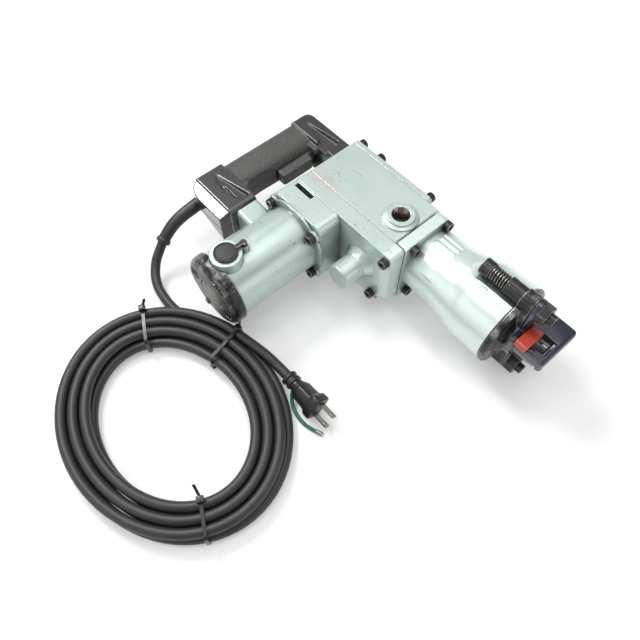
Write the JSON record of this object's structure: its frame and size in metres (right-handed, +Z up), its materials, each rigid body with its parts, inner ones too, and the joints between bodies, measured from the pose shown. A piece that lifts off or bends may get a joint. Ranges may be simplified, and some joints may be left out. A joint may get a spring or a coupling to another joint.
{
  "type": "demolition hammer",
  "caption": "Corded electric demolition hammer lying on its side: cross-mounted motor, crank-driven striker in a flared barrel, sprung tool retainer, D-handle and coiled cord.",
  "frame": {"origin": "middle of the machine's box, without the cord, on the floor it lies on", "axes": "+X forward along the barrel, +Y from the motor tail to the far side, +Z up"},
  "size_m": [0.3674, 0.4166, 0.112],
  "materials": {
    "paint": "metallic mint green paint",
    "black_plastic": "black glass-filled plastic",
    "black_cover": "worn black paint",
    "steel": "machined steel",
    "dark_steel": "black oxide",
    "retainer_paint": "worn blue-black paint",
    "red_paint": "red-orange paint",
    "copper": "copper",
    "brass": "brass",
    "carbon": "carbon",
    "rubber": "dark grey rubber",
    "green": "green cable sheath"
  },
  "bodies": {
    "machine": {"gear_case": "paint", "gear_cover": "paint", "crank_cover": "paint", "inner_cover": "paint", "motor_housing": "paint", "tail_cover": "black_cover", "barrel": "paint", "cylinder_liner": "steel", "front_cover": "black_cover", "tool_sleeve": "steel", "handle_upper": "black_plastic", "handle_lower": "black_plastic", "trigger_pin": "steel", "switch_body": "black_plastic", "cord_guard": "rubber", "stator_core": "steel", "field_coils": "copper", "motor_bearings": "steel", "brush_holders": "brass", "carbon_brushes": "carbon", "brush_caps": "black_plastic", "cap_clips": "dark_steel", "gear_bearings": "steel", "damper_ring": "rubber", "bolt_springs": "dark_steel", "bolt_bushes": "dark_steel", "gear_cover_screws": "dark_steel", "crank_cover_screws": "dark_steel", "flange_screws": "dark_steel", "motor_screws": "dark_steel", "tail_screws": "dark_steel", "handle_screws": "dark_steel", "cord_tail": "rubber", "cord_coil": "rubber", "cable_ties": "black_plastic", "plug_body": "black_plastic", "plug_blades": "brass", "earth_lead": "green"},
    "armature": {"armature_shaft": "steel", "armature_core": "copper", "commutator": "copper", "fan": "black_plastic"},
    "intermediate": {"intermediate_shaft": "steel", "intermediate_wheel": "steel"},
    "crank": {"crankshaft": "steel", "crank_wheel": "steel"},
    "piston": {"piston": "steel", "piston_ring": "rubber", "wrist_pin": "steel"},
    "rod": {"connecting_rod": "steel", "crank_pin": "steel"},
    "striker": {"striker": "steel", "striker_ring": "rubber"},
    "impact_bolt": {"impact_bolt": "steel"},
    "trigger": {"trigger": "black_plastic"},
    "retainer": {"tool_retainer": "retainer_paint", "retainer_bolts": "dark_steel", "retainer_nuts": "dark_steel", "latch_pin": "dark_steel"},
    "latch": {"latch": "red_paint"}
  },
  "joints": [
    {"name": "armature_spin", "type": "hinge", "parent": "machine", "child": "armature", "pos_m": [-0.06965, 0.0715, 0.056], "axis": [0, 1, 0], "continuous": true},
    {"name": "intermediate_spin", "type": "hinge", "parent": "machine", "child": "intermediate", "pos_m": [-0.04115, 0.0715, 0.056], "axis": [0, 1, 0], "continuous": true},
    {"name": "crank_spin", "type": "hinge", "parent": "machine", "child": "crank", "pos_m": [-0.00515, 0.0715, 0.056], "axis": [0, 1, 0], "continuous": true},
    {"name": "piston_stroke", "type": "slide", "parent": "machine", "child": "piston", "axis": [1, 0, 0], "range_m": [0, 0.026]},
    {"name": "rod_swing", "type": "hinge", "parent": "piston", "child": "rod", "pos_m": [0.03885, 0.0715, 0.056], "axis": [0, 1, 0], "range_deg": [-13.1, 13.1]},
    {"name": "striker_flight", "type": "slide", "parent": "machine", "child": "striker", "axis": [1, 0, 0], "range_m": [-0.028, 0.001]},
    {"name": "impact_bolt_slide", "type": "slide", "parent": "machine", "child": "impact_bolt", "axis": [1, 0, 0], "range_m": [0, 0.003]},
    {"name": "trigger_pull", "type": "hinge", "parent": "machine", "child": "trigger", "pos_m": [-0.14465, 0.0735, 0.056], "axis": [0, 0, -1], "range_deg": [0, 8], "stiffness_Nm_per_rad": 1, "springref_deg": -8.59},
    {"name": "retainer_pull", "type": "slide", "parent": "machine", "child": "retainer", "axis": [1, 0, 0], "range_m": [0, 0.006], "stiffness_N_per_m": 4000, "springref_m": -0.004, "deforming": ["bolt_springs"]},
    {"name": "latch_swing", "type": "hinge", "parent": "retainer", "child": "latch", "pos_m": [0.15305, 0.0505, 0.0752], "axis": [1, 0, 0], "range_deg": [0, 100]}
  ],
  "couplings": [
    {"joint": "intermediate_spin", "follows": "armature_spin", "ratio": -0.26667},
    {"joint": "crank_spin", "follows": "armature_spin", "ratio": 0.088889}
  ]
}
